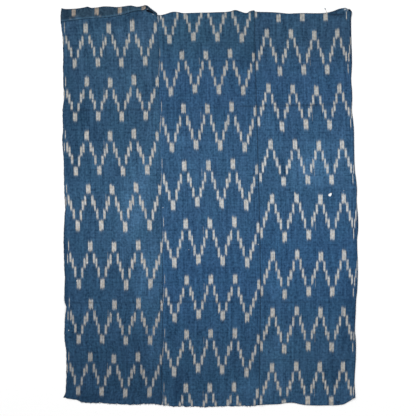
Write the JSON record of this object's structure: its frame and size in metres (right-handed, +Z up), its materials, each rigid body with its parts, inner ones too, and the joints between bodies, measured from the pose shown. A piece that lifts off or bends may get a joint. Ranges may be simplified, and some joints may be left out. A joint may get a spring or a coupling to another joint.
{
  "type": "kasuri cloth panel",
  "caption": "Indigo cotton cloth sewn from loom widths side by side, with pale stepped zigzags dyed into the warp, lying flat with one top corner turned over.",
  "frame": {"origin": "on the surface that the cloth lies on, under the middle of its outline", "axes": "+Z up from the surface through the face of the cloth, +Y along the warp to the top edge with the flap, +X across the widths to the right edge"},
  "size_m": [0.9916, 1.3375, 0.0101],
  "materials": {
    "indigo_left": "matte plain weave cotton with pale warp ikat zigzags",
    "indigo_middle": "matte plain weave cotton with pale warp ikat zigzags",
    "indigo_right": "matte plain weave cotton with pale warp ikat zigzags"
  },
  "bodies": {
    "root": {"panel_left": "indigo_left", "panel_middle": "indigo_middle", "panel_right": "indigo_right"}
  },
  "joints": []
}
